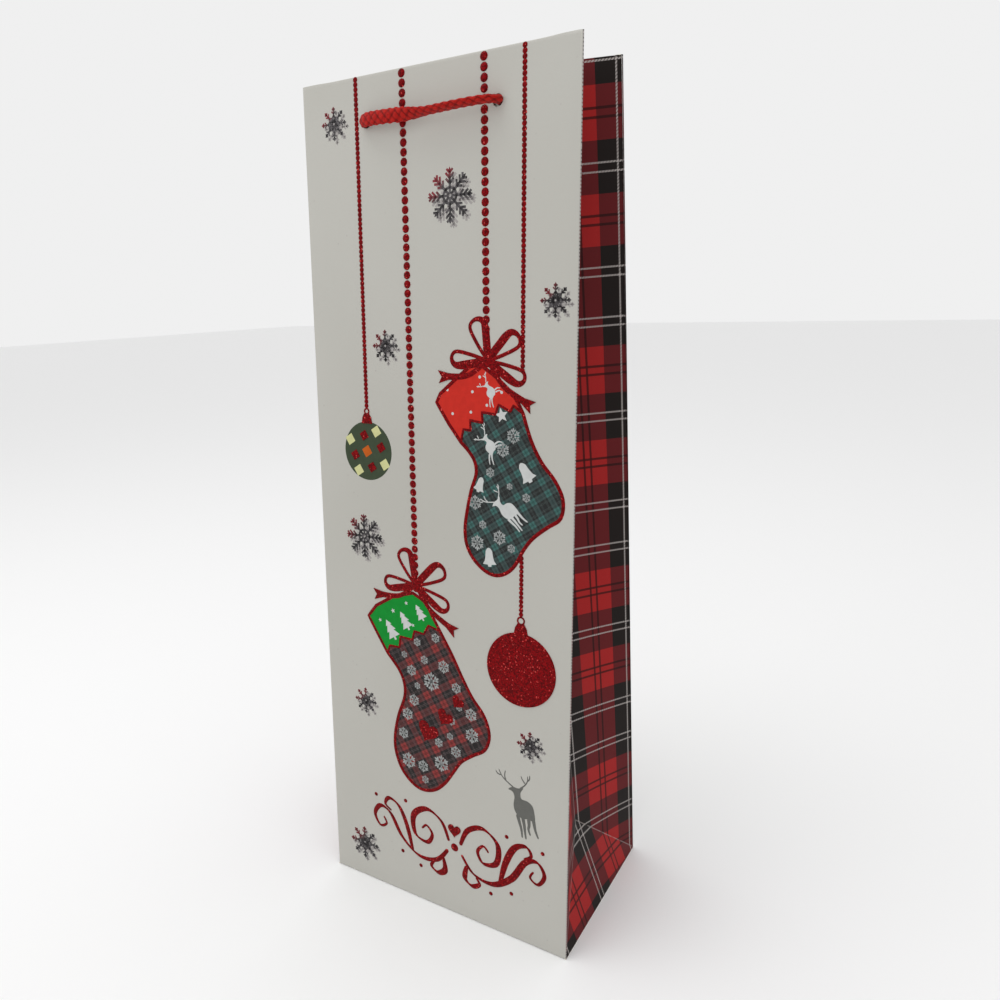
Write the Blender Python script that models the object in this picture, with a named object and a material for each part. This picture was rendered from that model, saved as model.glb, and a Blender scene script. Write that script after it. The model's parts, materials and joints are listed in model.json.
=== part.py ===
"""A paper bottle gift bag: one folded sheet with gussets, boards, hems and two cord handles.

Metres, +Z up. The origin is the centre of the base, the front panel faces -Y, and the
gussets are at +X and -X. The mouth is drawn in, so front and back lean towards each other
and each gusset folds inwards along its middle crease.
"""

import math

import bmesh
import bpy
from mathutils import Vector

# Driving dimensions
HEIGHT = 0.360  # fold to fold along the front panel
WIDTH = 0.126
DEPTH = 0.080
LEAN = math.radians(3.5)  # how far the front and back panels lean in
PAPER = 0.0004
BOARD = 0.0012
GAP = 0.0003  # between two layers that lie on each other
HEM = 0.040  # depth of the turned-in top edge
SEAM_FLAP = 0.014

HOLE_SPACING = 0.060
HOLE_DROP = 0.0175  # from the top edge down to the hole centres
HOLE_RADIUS = 0.0024

CORD_RADIUS = 0.0016
SPAN_BULGE = 0.0035  # how far the outer stretch of cord bows out from its two ends
SPAN_SAG = 0.0012
SPAN_POINTS = 17
TAIL_LENGTH = 0.118  # from the hole down to the knot
TAIL_POINTS = 22
KNOT_RADIUS = 0.0042

WHITE = ("white card", (0.78, 0.77, 0.75), 0.5)
TARTAN = ("tartan card", (0.42, 0.03, 0.03), 0.4)
GREY_BOARD = ("grey board", (0.55, 0.54, 0.50), 0.8)
CORD = ("red cord", (0.62, 0.02, 0.02), 0.7)

FRONT, BACK = -1, 1
LEFT, RIGHT = -1, 1
END_NAME = {FRONT: "front", BACK: "back"}
SIDE_NAME = {LEFT: "left", RIGHT: "right"}

# Layers, as depths in from the outer face of the bag
SECOND_LAYER = PAPER + GAP
THIRD_LAYER = SECOND_LAYER + BOARD + GAP
WALL = THIRD_LAYER + PAPER  # panel, board and hem together


def clear_scene():
    for item in list(bpy.data.objects):
        bpy.data.objects.remove(item)


def material(look):
    name, colour, roughness = look
    made = bpy.data.materials.get(name) or bpy.data.materials.new(name)
    made.use_nodes = True
    shader = made.node_tree.nodes["Principled BSDF"]
    shader.inputs["Base Color"].default_value = (*colour, 1.0)
    shader.inputs["Roughness"].default_value = roughness
    shader.inputs["Metallic"].default_value = 0.0
    return made


def add_object(name, data, look):
    piece = bpy.data.objects.new(name, data)
    bpy.context.scene.collection.objects.link(piece)
    own = material(look).copy()
    own.name = name
    data.materials.append(own)
    return piece


# The folded shape


def panel_point(end, x, along, depth=0.0):
    """A point on the front or back panel, along it from the base and depth in from its face."""
    inwards = DEPTH / 2 - along * math.sin(LEAN) - depth * math.cos(LEAN)
    return Vector((x, end * inwards, along * math.cos(LEAN) - depth * math.sin(LEAN)))


def gusset_points(side, end):
    """The corners of half a gusset: base corner, top corner, apex and top of the crease."""
    corner = panel_point(end, side * WIDTH / 2, 0.0)
    top = panel_point(end, side * WIDTH / 2, HEIGHT)
    fold_in = math.acos((1 - math.sin(LEAN)) / math.cos(LEAN))
    half = DEPTH / 2
    apex = Vector((side * (WIDTH / 2 - half * math.sin(fold_in)), 0.0, half * math.cos(fold_in)))
    return corner, top, apex, crease_top(top, apex)


def crease_top(top, apex):
    """Where the middle crease meets the top edge: half the depth from the panel's top corner."""
    reach = math.sqrt((DEPTH / 2) ** 2 - top.y**2)
    crease = HEIGHT - DEPTH / 2
    step = Vector((apex.x - top.x, 0.0, apex.z - top.z))
    span = step.length
    step.normalize()
    along = (reach**2 - crease**2 + span**2) / (2 * span)
    across = math.sqrt(reach**2 - along**2)
    foot = Vector((top.x, 0.0, top.z)) + step * along
    sideways = Vector((-step.z, 0.0, step.x))
    inner = min((foot + sideways * across, foot - sideways * across), key=lambda p: abs(p.x))
    return inner


# Flat pieces of paper and board


def inset_outline(outline, margins):
    """Moves each edge of a flat, counter-clockwise outline inwards by its own margin."""
    lines = []
    for start, stop, margin in zip(outline, outline[1:] + outline[:1], margins):
        run = (stop - start).normalized()
        lines.append((start + Vector((-run.y, run.x)) * margin, run))
    corners = []
    for (point_a, run_a), (point_b, run_b) in zip(lines[-1:] + lines[:-1], lines):
        turn = run_a.x * run_b.y - run_a.y * run_b.x
        step = point_b - point_a
        corners.append(point_a + run_a * ((step.x * run_b.y - step.y * run_b.x) / turn))
    return corners


def plate(name, corners, margins, outside, look, depth=0.0, thickness=PAPER):
    """A flat plate on the plane of its corners, its thickness on the side away from outside."""
    origin = corners[0]
    across = (corners[1] - origin).normalized()
    normal = across.cross(corners[2] - origin).normalized()
    if normal.dot(Vector(outside) - origin) > 0:
        normal.negate()
    up = normal.cross(across)
    flat = [Vector(((c - origin).dot(across), (c - origin).dot(up))) for c in corners]
    area = sum(a.x * b.y - a.y * b.x for a, b in zip(flat, flat[1:] + flat[:1]))
    if area < 0:
        flat.reverse()
        margins = list(margins[-2::-1]) + [margins[-1]]
    flat = inset_outline(flat, margins)
    mesh = bpy.data.meshes.new(name)
    shape = bmesh.new()
    near = [shape.verts.new(origin + across * p.x + up * p.y + normal * depth) for p in flat]
    face = shape.faces.new(near)
    extruded = bmesh.ops.extrude_face_region(shape, geom=[face])["geom"]
    moved = [v for v in extruded if isinstance(v, bmesh.types.BMVert)]
    bmesh.ops.translate(shape, verts=moved, vec=normal * thickness)
    bmesh.ops.recalc_face_normals(shape, faces=shape.faces)
    shape.to_mesh(mesh)
    shape.free()
    return add_object(name, mesh, look)


def panel_plate(name, end, outline, look, depth, thickness):
    """A plate parallel to the front or back panel; the outline is in x and distance from the base."""
    corners = [panel_point(end, x, along) for x, along in outline]
    beyond = Vector((0, end * 1.0, 0.5))
    margins = [0.0] * len(outline)
    return plate(name, corners, margins, beyond, look, depth, thickness)


def punch_holes(piece, end):
    """Cuts the two cord holes through a plate of the front or back panel."""
    shape = bmesh.new()
    outwards = Vector((0, end * math.cos(LEAN), math.sin(LEAN)))
    for side in (LEFT, RIGHT):
        centre = panel_point(end, side * HOLE_SPACING / 2, HEIGHT - HOLE_DROP, WALL / 2)
        made = bmesh.ops.create_cone(
            shape, segments=24, radius1=HOLE_RADIUS, radius2=HOLE_RADIUS, depth=4 * WALL, cap_ends=True
        )
        turn = outwards.to_track_quat("Z", "X")
        bmesh.ops.rotate(shape, verts=made["verts"], cent=(0, 0, 0), matrix=turn.to_matrix())
        bmesh.ops.translate(shape, verts=made["verts"], vec=centre)
    mesh = bpy.data.meshes.new(piece.name + "_cutter")
    shape.to_mesh(mesh)
    shape.free()
    cutter = bpy.data.objects.new(mesh.name, mesh)
    bpy.context.scene.collection.objects.link(cutter)
    cutter.hide_render = True
    cutter.display_type = "WIRE"
    cut = piece.modifiers.new("holes", "BOOLEAN")
    cut.object = cutter
    cut.operation = "DIFFERENCE"


def trapezium(low, high, low_width, high_width):
    return [(-low_width, low), (low_width, low), (high_width, high), (-high_width, high)]


# Front and back


def make_wall(end):
    """One printed panel with its board and the hem that is folded over the board."""
    name = END_NAME[end]
    foot = 0.0009  # the panel stands just clear of the base flaps
    panel = trapezium(foot, HEIGHT, WIDTH / 2, WIDTH / 2)
    board = trapezium(HEIGHT - HEM + 0.002, HEIGHT - GAP, 0.049, 0.047)
    hem = trapezium(HEIGHT - HEM, HEIGHT - GAP, WIDTH / 2 - 0.005, WIDTH / 2 - 0.017)
    punch_holes(panel_plate(name + "_panel", end, panel, WHITE, 0.0, PAPER), end)
    punch_holes(panel_plate(name + "_board", end, board, GREY_BOARD, SECOND_LAYER, BOARD), end)
    punch_holes(panel_plate(name + "_hem", end, hem, WHITE, THIRD_LAYER, PAPER), end)


def make_seam_flap():
    """The glued flap of the left gusset, inside the back panel's left edge."""
    outer = -WIDTH / 2 + 0.0018
    outline = [
        (outer, 0.004),
        (outer + SEAM_FLAP, 0.004),
        (outer + SEAM_FLAP, HEIGHT - HEM - 0.002),
        (outer, HEIGHT - HEM - 0.002),
    ]
    panel_plate("side_seam_flap", BACK, outline, WHITE, SECOND_LAYER, PAPER)


# Gussets


def make_gusset(side):
    """Base triangle, and for each half the lower and upper facet and the turned-in hem."""
    name = SIDE_NAME[side] + "_gusset"
    edge, crease = 0.0011, 0.0006
    front, back = (gusset_points(side, end) for end in (FRONT, BACK))
    notch = Vector((side * 1.0, 0.0, 0.6))
    plate(name + "_triangle", [front[0], back[0], front[2]], [0.0016, crease, crease], notch, TARTAN)
    for end, (corner, top, apex, inner) in ((FRONT, front), (BACK, back)):
        half = f"{name}_{END_NAME[end]}"
        notch = Vector((side * WIDTH / 2, 0.0, HEIGHT))
        plate(half + "_lower", [corner, top, apex], [edge, crease, crease], notch, TARTAN)
        edge_cut = top + (inner - top).normalized() * 0.005
        fold_cut = top + (apex - top).normalized() * 0.010
        upper = [edge_cut, inner, apex, fold_cut]
        plate(half + "_upper", upper, [0.0, crease, crease, 0.0], notch, TARTAN)
        make_gusset_hem(half + "_hem", top, inner, apex, notch)


def make_gusset_hem(name, top, inner, apex, notch):
    """The turned-in top edge of an upper facet, cut back from the narrow corner at the panel."""
    across = (inner - top).normalized()
    down = (apex - inner).normalized()
    start, stop = 0.009, DEPTH / 2 - 0.0015
    corners = [
        top + across * start,
        top + across * stop,
        top + across * stop + down * (HEM - 0.002),
        top + across * (start + 0.004) + down * (HEM - 0.002),
    ]
    plate(name, corners, [0.0003, 0.0, 0.0, 0.0], notch, WHITE, SECOND_LAYER)


# Base


def base_plate(name, outline, low, look, thickness=PAPER):
    corners = [Vector((x, y, low)) for x, y in outline]
    plate(name, corners, [0.0] * len(corners), (0, 0, -1), look, 0.0, thickness)


def make_base():
    """Front flap outermost, then the back flap, the two gusset flaps and the loose board."""
    wide = WIDTH / 2 - 0.0017
    reach = 0.056  # how far a long flap reaches under the bag
    cut = 0.020  # the corners of the long flaps are folded away
    for end, low in ((FRONT, 0.0), (BACK, SECOND_LAYER)):
        fold = end * (DEPTH / 2 - 0.0010)
        tip = end * (DEPTH / 2 - reach)
        shoulder = tip + end * cut
        outline = [(-wide, fold), (wide, fold), (wide, shoulder), (wide - cut, tip)]
        outline += [(cut - wide, tip), (-wide, shoulder)]
        base_plate(f"base_{END_NAME[end]}_flap", outline, low, WHITE)
    low = 2 * SECOND_LAYER
    for side in (LEFT, RIGHT):
        fold = side * wide
        tip = side * (wide - DEPTH / 2)
        outline = [(fold, -0.0385), (fold, 0.0385), (tip, 0.022), (tip, -0.022)]
        base_plate(f"base_{SIDE_NAME[side]}_flap", outline, low, TARTAN)
    half_x, half_y = 0.0595, 0.0380
    outline = [(-half_x, -half_y), (half_x, -half_y), (half_x, half_y), (-half_x, half_y)]
    base_plate("base_board", outline, 3 * SECOND_LAYER, GREY_BOARD, BOARD)


# Cord handles


def smooth_route(points, count):
    """Reads count evenly spread points from a Catmull-Rom curve through the given points."""
    knots = [2 * points[0] - points[1], *points, 2 * points[-1] - points[-2]]
    route = []
    for number in range(count):
        place = number * (len(points) - 1) / (count - 1)
        index = min(int(place), len(points) - 2)
        t = place - index
        a, b, c, d = knots[index : index + 4]
        route.append(
            b + (c - a) * (t / 2) + (2 * a - 5 * b + 4 * c - d) * (t * t / 2)
            + (3 * b - a - 3 * c + d) * (t**3 / 2)
        )
    return route


def cord_tube(name, points, count):
    curve = bpy.data.curves.new(name, "CURVE")
    curve.dimensions = "3D"
    curve.bevel_depth = CORD_RADIUS
    curve.bevel_resolution = 2
    curve.render_resolution_u = 0
    curve.use_fill_caps = True
    route = smooth_route(points, count)
    spline = curve.splines.new("POLY")
    spline.points.add(len(route) - 1)
    for item, place in zip(spline.points, route):
        item.co = (*place, 1.0)
    return add_object(name, curve, CORD)


def make_knot(name, centre):
    """The overhand knot that keeps a tail from slipping out."""
    mesh = bpy.data.meshes.new(name)
    shape = bmesh.new()
    bmesh.ops.create_uvsphere(shape, u_segments=16, v_segments=10, radius=KNOT_RADIUS)
    bmesh.ops.scale(shape, vec=(1.0, 0.9, 1.2), verts=shape.verts)
    bmesh.ops.translate(shape, vec=centre, verts=shape.verts)
    shape.to_mesh(mesh)
    shape.free()
    mesh.shade_smooth()
    add_object(name, mesh, CORD)


def make_handle(end):
    """One cord: the stretch across the outside, a tail inside each hole, and the two knots."""
    name = END_NAME[end] + "_cord"
    along = HEIGHT - HOLE_DROP
    stand = CORD_RADIUS + 2 * GAP
    half = HOLE_SPACING / 2
    span = [
        panel_point(end, -half, along, -stand),
        panel_point(end, -half * 0.85, along - 0.2 * SPAN_SAG, -stand - 0.6 * SPAN_BULGE),
        panel_point(end, -half * 0.55, along - 0.6 * SPAN_SAG, -stand - SPAN_BULGE),
        panel_point(end, 0.0, along - SPAN_SAG, -stand - SPAN_BULGE),
        panel_point(end, half * 0.55, along - 0.6 * SPAN_SAG, -stand - SPAN_BULGE),
        panel_point(end, half * 0.85, along - 0.2 * SPAN_SAG, -stand - 0.6 * SPAN_BULGE),
        panel_point(end, half, along, -stand),
    ]
    cord_tube(name + "_span", span, SPAN_POINTS)
    for side in (LEFT, RIGHT):
        start = panel_point(end, side * half, along, WALL + stand)
        turn = start + Vector((0, -end * 0.0012, -0.0020))
        hang = start + Vector((0, -end * 0.0018, -0.0060))
        route = [start, turn, hang]
        steps = 5
        for step in range(1, steps + 1):
            route.append(hang - Vector((0, 0, (TAIL_LENGTH - 0.006) * step / steps)))
        tail = f"{name}_{SIDE_NAME[side]}"
        cord_tube(tail + "_tail", route, TAIL_POINTS)
        make_knot(tail + "_knot", route[-1] - Vector((0, 0, 1.2 * KNOT_RADIUS + 2 * GAP)))


def main():
    clear_scene()
    for end in (FRONT, BACK):
        make_wall(end)
        make_handle(end)
    make_seam_flap()
    for side in (LEFT, RIGHT):
        make_gusset(side)
    make_base()


main()
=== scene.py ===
"""The looks of the bottle gift bag: folded printed card, raised glitter art and braided cords."""

import json
import math
import random

import bmesh
import bpy
from mathutils import Matrix, Vector


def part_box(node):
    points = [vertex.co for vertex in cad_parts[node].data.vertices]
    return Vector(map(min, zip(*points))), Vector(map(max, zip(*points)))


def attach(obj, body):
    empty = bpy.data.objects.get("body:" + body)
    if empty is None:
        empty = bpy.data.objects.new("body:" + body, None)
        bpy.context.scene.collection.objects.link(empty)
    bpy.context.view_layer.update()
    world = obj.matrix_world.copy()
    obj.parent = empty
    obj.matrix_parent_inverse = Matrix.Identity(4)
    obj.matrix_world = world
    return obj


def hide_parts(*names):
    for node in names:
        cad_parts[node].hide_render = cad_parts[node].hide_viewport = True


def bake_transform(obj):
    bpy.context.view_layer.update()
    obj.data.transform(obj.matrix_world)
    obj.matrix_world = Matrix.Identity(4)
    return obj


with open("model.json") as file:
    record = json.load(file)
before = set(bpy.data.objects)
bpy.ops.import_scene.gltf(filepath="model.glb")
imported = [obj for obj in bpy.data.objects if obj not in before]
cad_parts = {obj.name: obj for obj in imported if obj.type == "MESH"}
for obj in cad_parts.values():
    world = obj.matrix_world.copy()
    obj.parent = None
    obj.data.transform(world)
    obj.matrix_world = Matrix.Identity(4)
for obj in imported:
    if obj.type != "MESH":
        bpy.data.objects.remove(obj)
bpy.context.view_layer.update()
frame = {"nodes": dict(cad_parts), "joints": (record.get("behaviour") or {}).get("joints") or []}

MM = 0.001
FRONT, BACK = -1, 1
LEFT, RIGHT = -1, 1
END_NAME = {FRONT: "front", BACK: "back"}
SIDE_NAME = {LEFT: "left", RIGHT: "right"}

# The fold's geometry, read from the joints of the frame
joints = {joint["name"]: joint for joint in frame["joints"]}
BASE_CORNER = Vector(joints["right_front_edge_fold"]["pos_m"])
TOP_CORNER = Vector(joints["right_front_gusset_fold"]["pos_m"])
HALF_WIDTH = BASE_CORNER.x
HALF_DEPTH = -BASE_CORNER.y
HEIGHT = (TOP_CORNER - BASE_CORNER).length
LEAN = math.asin((TOP_CORNER.y - BASE_CORNER.y) / HEIGHT)
FOLD_IN = math.acos((1 - math.sin(LEAN)) / math.cos(LEAN))

PAPER = 0.00034
FOLD_RADIUS = 0.0006
HEM_DEPTH = 0.038
HEM_LAYER = 0.00042  # depth of the hem where no board lies under it
BOARD_LAYER = 0.00226  # depth of the hem over the board
ROLL_FLATNESS = 0.45  # height of the roll over the board against its half thickness
HEM_STEP_START, HEM_STEP_END = 0.0495, 0.0545  # where the hem steps down beside the board
HEM_NARROWING = 0.075  # how much narrower a panel's hem is than its face
GUSSET_HEM_SHIFT = 0.0035  # how far a gusset's hem draws away from the panel's edge
HOLE_RADIUS = 0.0022
CUTTER_LENGTH = 0.012

CORD_WIDTH = 0.0046
CORD_THICKNESS = 0.0024
SPAN_STAND = 0.0022
SPAN_BULGE = 0.0035
SPAN_SAG = 0.0012
SPAN_START, TAIL_START = -0.0004, -0.0010  # depth of the ends that meet in front of each hole
SPAN_OVERHANG = 0.0006  # how far past a hole's middle the span begins
# Share of half the span, share of the sag and share of the bulge
SPAN_ROUTE = ((0.85, 0.2, 0.6), (0.55, 0.6, 1.0), (0.0, 1.0, 1.0))
TAIL_STEPS = 5
KNOT_STEPS, KNOT_RING = 110, 14
FRAY_STRANDS, FRAY_RING = 9, 5


def panel_point(end, x, along, depth=0.0):
    """A point on the front or back panel, along it from the base and depth in from its face."""
    inwards = HALF_DEPTH - along * math.sin(LEAN) - depth * math.cos(LEAN)
    return Vector((x, end * inwards, along * math.cos(LEAN) - depth * math.sin(LEAN)))


def panel_axes(end):
    """Unit vectors up a panel and out from its face."""
    base = panel_point(end, 0, 0.0)
    return (panel_point(end, 0, 1.0) - base).normalized(), (panel_point(end, 0, 0, -1.0) - base).normalized()


# Shader helpers


def new_material(name, roughness=0.5, specular=0.5, **constants):
    """A material with its Principled shader; constants are set straight on the shader's sockets."""
    made = bpy.data.materials.new(name)
    made.use_nodes = True
    shader = made.node_tree.nodes["Principled BSDF"]
    shader.inputs["Roughness"].default_value = roughness
    shader.inputs["Specular IOR Level"].default_value = specular
    for socket, value in constants.items():
        shader.inputs[socket.replace("_", " ")].default_value = value
    return made, made.node_tree, shader


def feed(socket, value):
    """Links a node's output to a socket, or sets the socket's own value."""
    if isinstance(value, bpy.types.NodeSocket):
        socket.id_data.links.new(value, socket)
    else:
        socket.default_value = value


def add(tree, kind, settings=None, **values):
    """Adds a node, sets its settings, and feeds its inputs by name or by in0, in1 and so on."""
    node = tree.nodes.new(kind)
    for key, value in (settings or {}).items():
        setattr(node, key, value)
    for key, value in values.items():
        feed(node.inputs[int(key[2:])] if key[:2] == "in" and key[2:].isdigit() else node.inputs[key], value)
    return node


def maths(operation, *values):
    """A maths node, in the node tree of the first of its values that is a node's output."""
    tree = next(value.id_data for value in values if isinstance(value, bpy.types.NodeSocket))
    inputs = {f"in{index}": value for index, value in enumerate(values)}
    return add(tree, "ShaderNodeMath", {"operation": operation}, **inputs).outputs[0]


def mix(factor, first, second):
    """A colour mixed by factor, from first at 0 to second at 1."""
    node = add(factor.id_data, "ShaderNodeMix", {"data_type": "RGBA"}, in0=factor)
    for socket, value in ((node.inputs[6], first), (node.inputs[7], second)):
        feed(socket, (*value, 1.0) if isinstance(value, tuple) else value)
    return node.outputs[2]


def object_place(tree):
    return add(tree, "ShaderNodeTexCoord").outputs["Object"]


def flat_place(tree):
    """Coordinates on the flat sheet, in millimetres: across in X and down from the top edge in Y."""
    return add(tree, "ShaderNodeUVMap", {"uv_map": "flat"}).outputs["UV"]


def noise(place, scale, detail):
    return add(place.id_data, "ShaderNodeTexNoise", Vector=place, Scale=scale, Detail=detail).outputs[0]


def ramp(factor, low, high):
    """0 below low, 1 above high, straight between."""
    ranged = {"in0": factor, "in1": low, "in2": high}
    return add(factor.id_data, "ShaderNodeMapRange", {"clamp": True}, **ranged).outputs[0]


def patches(place, scale, detail, low=0.3, high=0.7):
    """Patches of noise, with soft borders between low and high."""
    return ramp(noise(place, scale, detail), low, high)


def times(first, second):
    return maths("MULTIPLY", first, second)


def bump(shader, height, distance, strength):
    node = add(height.id_data, "ShaderNodeBump", Height=height, Distance=distance, Strength=strength)
    feed(shader.inputs["Normal"], node.outputs[0])


def paint(shader, colour):
    feed(shader.inputs["Base Color"], colour)


# Materials


def card_surface(shader, place, depth=0.00006):
    """The faint orange peel of laminated card, its slow waves and its streaks of duller film."""
    peel = noise(place, 900.0, 3.0)
    wave = noise(place, 9.0, 1.0)
    bump(shader, maths("ADD", peel, times(wave, 12.0)), depth, 0.5)
    streak = patches(place, 60.0, 4.0)
    feed(shader.inputs["Roughness"], maths("MULTIPLY_ADD", streak, 0.08, 0.40))


def white_card_material():
    """Laminated off-white card with sparse fine specks and a faint cast."""
    made, tree, shader = new_material("white_laminated_card", 0.42, 0.30)
    place = object_place(tree)
    cast = patches(place, 7.0, 2.0, 0.35, 0.65)
    base = mix(cast, (0.440, 0.430, 0.390), (0.475, 0.466, 0.428))
    cells = add(tree, "ShaderNodeTexVoronoi", Vector=place, Scale=210.0)
    near = ramp(cells.outputs["Distance"], 0.10, 0.04)
    some = patches(place, 31.0, 0.0, 0.52, 0.58)
    specks = times(times(near, some), 0.55)
    paint(shader, mix(specks, base, (0.36, 0.33, 0.31)))
    card_surface(shader, place)
    return made


def plain_paper_material(name, low, high, scale=1400.0):
    """Uncoated paper or board, with its fibres."""
    made, tree, shader = new_material(name, 0.85, 0.2)
    fibre = patches(object_place(tree), scale, 4.0)
    paint(shader, mix(fibre, low, high))
    bump(shader, fibre, 0.00004, 0.6)
    return made


CELL = 19.25  # mm, one block of the tartan's sett
SETT_BLOCKS = 5  # the first and the third are red, the others black
PAIR_HALF_SPACING = 1.65  # mm from the middle of a block to each line of its pair
DARK_HALF_WIDTH, WHITE_HALF_WIDTH = 0.50, 0.35  # mm


def tartan_bands(coordinate, start):
    """Red blocks, dark line pairs and white line pairs along one direction of the tartan."""
    cell = maths("DIVIDE", maths("SUBTRACT", coordinate, start), CELL)
    block = maths("FLOOR", maths("FLOORED_MODULO", cell, float(SETT_BLOCKS)))
    red = maths("ADD", *(maths("COMPARE", block, number, 0.5) for number in (0.0, 2.0)))
    centre = maths("SUBTRACT", maths("FRACT", cell), 0.5)
    apart = times(maths("ABSOLUTE", centre), CELL)
    pair = maths("ABSOLUTE", maths("SUBTRACT", apart, PAIR_HALF_SPACING))
    dark = times(red, maths("LESS_THAN", pair, DARK_HALF_WIDTH))
    black = maths("SUBTRACT", 1.0, red)
    return red, dark, times(black, maths("LESS_THAN", pair, WHITE_HALF_WIDTH))


def worn_creases(base, across, down):
    """The print rubbed pale along the slanting creases of the foot."""
    up = maths("SUBTRACT", HEIGHT / MM, down)
    inwards = maths("MINIMUM", across, maths("SUBTRACT", 2 * HALF_DEPTH / MM, across))
    away = maths("ABSOLUTE", maths("SUBTRACT", up, inwards))
    rubbed = patches(object_place(across.id_data), 320.0, 3.0, 0.30, 0.46)
    line = times(ramp(away, 0.42, 0.18), rubbed)
    return mix(times(line, 0.45), base, (0.42, 0.36, 0.34))


def tartan_material(name, inks, start=(0.0, 0.0), finer=1.0, turn=0.0, slip=0.0):
    """A printed tartan: blocks where the two directions cross, dark pairs, and hatched white pairs.

    With slip it is a gusset's: the print runs lower at the back edge, and shows twill and worn creases.
    """
    made, tree, shader = new_material(name, 0.42, 0.09)
    turned = add(tree, "ShaderNodeMapping", in0=flat_place(tree), in2=(0, 0, turn), in3=(finer,) * 3)
    split = add(tree, "ShaderNodeSeparateXYZ", in0=turned.outputs[0])
    across, down = split.outputs[0], split.outputs[1]
    if slip:
        skew = times(ramp(across, 40.0, 80.0), ramp(down, 60.0, 330.0))
        down = maths("SUBTRACT", down, times(skew, slip))
    red_a, dark_a, white_a = tartan_bands(across, start[0])
    red_d, dark_d, white_d = tartan_bands(down, start[1])
    ground, half, full, dark, line = inks
    base = mix(maths("MAXIMUM", red_a, red_d), ground, half)
    base = mix(times(red_a, red_d), base, full)
    shade = times(maths("ADD", dark_a, dark_d), 0.80)
    base = mix(maths("MINIMUM", shade, 0.9), base, dark)
    slant = maths("FRACT", times(maths("ADD", across, down), 0.8))
    strength = maths("MULTIPLY_ADD", maths("GREATER_THAN", slant, 0.40), 0.66, 0.18)
    lines = times(maths("MAXIMUM", white_a, white_d), strength)
    crossing = times(times(white_a, white_d), 0.95)
    base = mix(maths("MAXIMUM", lines, crossing), base, line)
    if slip:
        base = worn_creases(base, across, split.outputs[1])
        weave = maths("FRACT", times(maths("SUBTRACT", across, down), 1.3))
        base = mix(times(maths("LESS_THAN", weave, 0.5), 0.10), base, dark)
    paint(shader, base)
    card_surface(shader, object_place(tree), 0.00005)
    return made


def glitter_material(name, deep, bright, painted_glint):
    """Coarse glitter set in colour: each flake has its own tilt, shine and tone, and the rarest flakes carry
    a painted glint, a bright colour standing in for light caught off them.
    """
    made, tree, shader = new_material(name, 0.40, 0.07, Metallic=0.16)
    flakes = add(tree, "ShaderNodeTexVoronoi", Vector=object_place(tree), Scale=2300.0)
    tone = add(tree, "ShaderNodeSeparateXYZ", in0=flakes.outputs["Color"])
    base = mix(ramp(tone.outputs[0], 0.15, 0.85), deep, bright)
    # painted glint: the rarest flakes are painted in a bright colour, standing in for light caught off them
    paint(shader, mix(ramp(tone.outputs[1], 0.965, 0.99), base, painted_glint))
    bump(shader, tone.outputs[2], 0.00014, 0.8)
    feed(shader.inputs["Roughness"], maths("MULTIPLY_ADD", tone.outputs[1], 0.35, 0.25))
    return made


def foil_material():
    """Dark foil print with a painted reflection: each motif is painted red towards its upper left, standing
    in for the coloured glint of the holographic foil.
    """
    made, tree, shader = new_material("dark_foil", 0.3, Metallic=0.6)
    place = object_place(tree)
    split = add(tree, "ShaderNodeSeparateXYZ", in0=flat_place(tree))
    slant = maths("SUBTRACT", split.outputs[1], split.outputs[0])
    # painted reflection: red laid on towards the upper left of each motif, by its place on the sheet
    painted_foil_reflection = ramp(maths("ADD", slant, noise(place, 160.0, 2.0)), 0.95, 1.45)
    grain = patches(place, 700.0, 2.0, 0.4, 0.6)
    grey = mix(grain, (0.020, 0.018, 0.019), (0.085, 0.078, 0.081))
    paint(shader, mix(painted_foil_reflection, grey, (0.17, 0.020, 0.026)))
    bump(shader, grain, 0.00003, 0.5)
    return made


def print_material(name, colour, mottling=0.06):
    """Flat printed ink with the faint mottle of the card under it."""
    made, tree, shader = new_material(name, 0.42, 0.08)
    place = object_place(tree)
    darker = tuple(channel * (1 - mottling) for channel in colour)
    lighter = tuple(min(1.0, channel * (1 + mottling)) for channel in colour)
    paint(shader, mix(patches(place, 420.0, 3.0), darker, lighter))
    bump(shader, noise(place, 900.0, 3.0), 0.00004, 0.4)
    return made


def cord_material():
    """Bright red braided yarn: fine fibres and soft lighter patches, with painted shade: the plait's grooves
    are painted dark and its ridges left lighter.
    """
    made, tree, shader = new_material("red_braid", 0.80, 0.08, Sheen_Weight=0.07, Sheen_Roughness=0.5)
    place = object_place(tree)
    fibre = patches(place, 5200.0, 2.0)
    base = mix(fibre, (0.27, 0.004, 0.003), (0.50, 0.012, 0.008))
    soft = times(patches(place, 350.0, 3.0), 0.30)
    base = mix(soft, base, (0.64, 0.032, 0.021))
    height = add(tree, "ShaderNodeSeparateXYZ", in0=flat_place(tree)).outputs[0]
    # painted shade: where the plait's height is low, in its grooves, the colour is painted near black
    paint(shader, mix(ramp(height, 0.10, 0.75), (0.085, 0.002, 0.002), base))
    bump(shader, fibre, 0.00010, 0.7)
    return made


STOCKING_TURN = math.radians(-33)
GREEN_FINER, RED_FINER = 7.6, 5.8  # how much finer the stockings' tartans are than the gussets'
# Where the gussets' sett starts: across from the panel's edge and down from the top edge, in mm
GUSSET_START = (11.5, 9.1)
GUSSET_SLIP = 5.2  # mm the print runs lower at the back edge, near the foot

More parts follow.
